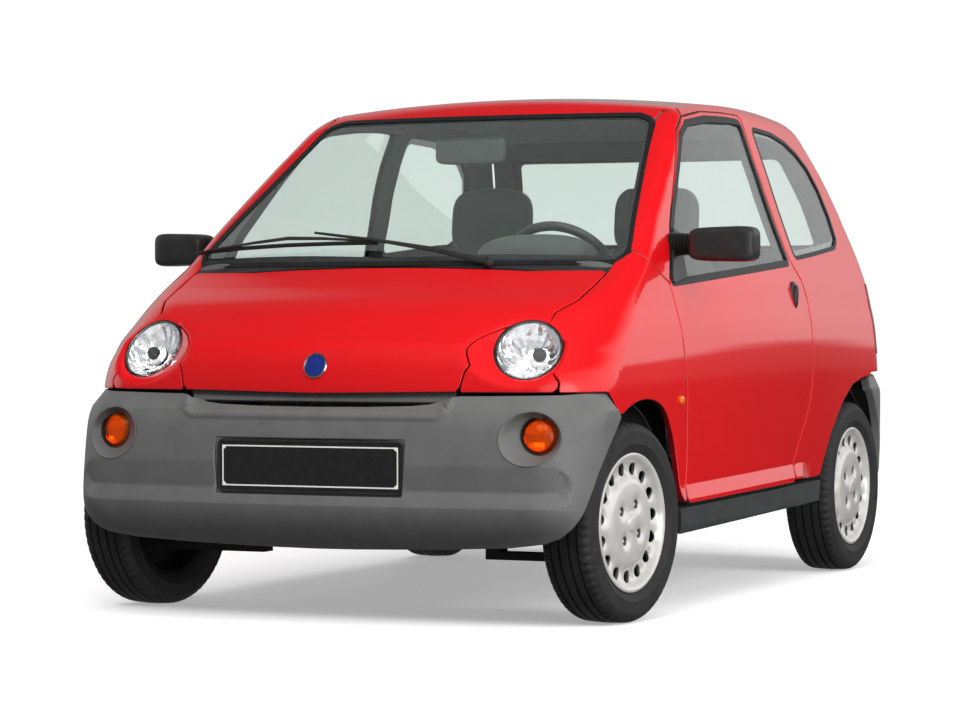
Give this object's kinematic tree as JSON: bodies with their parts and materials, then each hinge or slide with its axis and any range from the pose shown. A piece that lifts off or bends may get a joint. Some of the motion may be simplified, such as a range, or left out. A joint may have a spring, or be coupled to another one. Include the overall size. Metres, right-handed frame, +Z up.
{
  "type": "microcar",
  "caption": "Small two-seat quadricycle car with a one-box red body, grey bumpers, two hinged doors, bonnet and tailgate, coupled steering and free-rolling wheels.",
  "frame": {"origin": "on the ground, under the middle of the car's box", "axes": "+Z up, -Y towards the nose, +X towards the car's left side"},
  "size_m": [1.822, 2.632, 1.4059],
  "materials": {
    "amber_lens": "ribbed amber",
    "bare_steel": "dull zinc",
    "black_plastic": "matt",
    "cabin_plastic": "grained dark grey",
    "clear_lens": "clear",
    "engine_iron": "cast",
    "grey_plastic": "moulded, mid grey",
    "plate_black": "blank, black with a thin white border",
    "red_lens": "dark red",
    "red_paint": "gloss clear-coated",
    "seat_fabric": "woven dark grey",
    "silver_wheel": "silver lacquer",
    "tinted_glass": "light green-grey tint",
    "tyre_rubber": "matt black"
  },
  "bodies": {
    "shell": {"roof": "red_paint", "scuttle": "black_plastic", "lamp_panels": "red_paint", "wing_left": "red_paint", "wing_right": "red_paint", "body_side_left": "red_paint", "body_side_right": "red_paint", "quarter_glass": "tinted_glass", "windscreen": "tinted_glass", "front_bumper": "grey_plastic", "rear_bumper": "grey_plastic", "headlamps": "clear_lens", "indicators": "amber_lens", "tail_lamps": "red_lens", "floor_pan": "bare_steel", "sills": "black_plastic", "arch_liners": "black_plastic", "engine": "engine_iron", "front_subframe": "bare_steel", "front_suspension": "bare_steel", "rear_axle": "bare_steel", "exhaust": "bare_steel", "dashboard": "cabin_plastic", "steering_column": "cabin_plastic", "seat_left": "seat_fabric", "seat_right": "seat_fabric", "interior_mirror": "cabin_plastic", "number_plates": "plate_black"},
    "bonnet_lid": {"bonnet": "red_paint"},
    "tailgate_lid": {"tailgate": "red_paint", "tailgate_glass": "tinted_glass"},
    "door_left_leaf": {"door_left": "red_paint", "door_glass_left": "tinted_glass", "door_mirror_left": "black_plastic"},
    "door_right_leaf": {"door_right": "red_paint", "door_glass_right": "tinted_glass", "door_mirror_right": "black_plastic"},
    "steering": {"steering_wheel": "cabin_plastic"},
    "knuckle_left_body": {"knuckle_left": "bare_steel"},
    "knuckle_right_body": {"knuckle_right": "bare_steel"},
    "front_left_wheel": {"tyre_front_left": "tyre_rubber", "wheel_front_left": "silver_wheel"},
    "front_right_wheel": {"tyre_front_right": "tyre_rubber", "wheel_front_right": "silver_wheel"},
    "rear_left_wheel": {"tyre_rear_left": "tyre_rubber", "wheel_rear_left": "silver_wheel"},
    "rear_right_wheel": {"tyre_rear_right": "tyre_rubber", "wheel_rear_right": "silver_wheel"}
  },
  "joints": [
    {"name": "steering_turn", "type": "hinge", "parent": "shell", "child": "steering", "pos_m": [0.34, -0.455, 0.868], "axis": [0, 0.8829, 0.4695], "range_deg": [-420, 630]},
    {"name": "steer_left", "type": "hinge", "parent": "shell", "child": "knuckle_left_body", "pos_m": [0.6, -0.89, 0.254], "axis": [0, 0, 1], "range_deg": [-25.3, 37.9]},
    {"name": "steer_right", "type": "hinge", "parent": "shell", "child": "knuckle_right_body", "pos_m": [-0.6, -0.89, 0.254], "axis": [0, 0, 1], "range_deg": [-25.3, 37.9]},
    {"name": "spin_front_left", "type": "hinge", "parent": "knuckle_left_body", "child": "front_left_wheel", "pos_m": [0.66361, -0.89702, 0.254], "axis": [0.994, -0.1097, 0], "continuous": true},
    {"name": "spin_front_right", "type": "hinge", "parent": "knuckle_right_body", "child": "front_right_wheel", "pos_m": [-0.66361, -0.88298, 0.254], "axis": [0.994, -0.1097, 0], "continuous": true},
    {"name": "spin_rear_left", "type": "hinge", "parent": "shell", "child": "rear_left_wheel", "pos_m": [0.664, 0.875, 0.254], "axis": [1, 0, 0], "continuous": true},
    {"name": "spin_rear_right", "type": "hinge", "parent": "shell", "child": "rear_right_wheel", "pos_m": [-0.664, 0.875, 0.254], "axis": [1, 0, 0], "continuous": true},
    {"name": "door_left_hinge", "type": "hinge", "parent": "shell", "child": "door_left_leaf", "pos_m": [0.742, -0.556, 0.5], "axis": [0, 0, -1], "range_deg": [0, 65]},
    {"name": "door_right_hinge", "type": "hinge", "parent": "shell", "child": "door_right_leaf", "pos_m": [-0.742, -0.556, 0.5], "axis": [0, 0, 1], "range_deg": [0, 65]},
    {"name": "bonnet_hinge", "type": "hinge", "parent": "shell", "child": "bonnet_lid", "pos_m": [0, -0.84, 0.9], "axis": [-1, 0, 0], "range_deg": [0, 50]},
    {"name": "tailgate_hinge", "type": "hinge", "parent": "shell", "child": "tailgate_lid", "pos_m": [0, 0.985, 1.335], "axis": [1, 0, 0], "range_deg": [0, 75]}
  ],
  "couplings": [
    {"joint": "steer_left", "follows": "steering_turn", "ratio": 0.06},
    {"joint": "steer_right", "follows": "steering_turn", "ratio": 0.06}
  ]
}
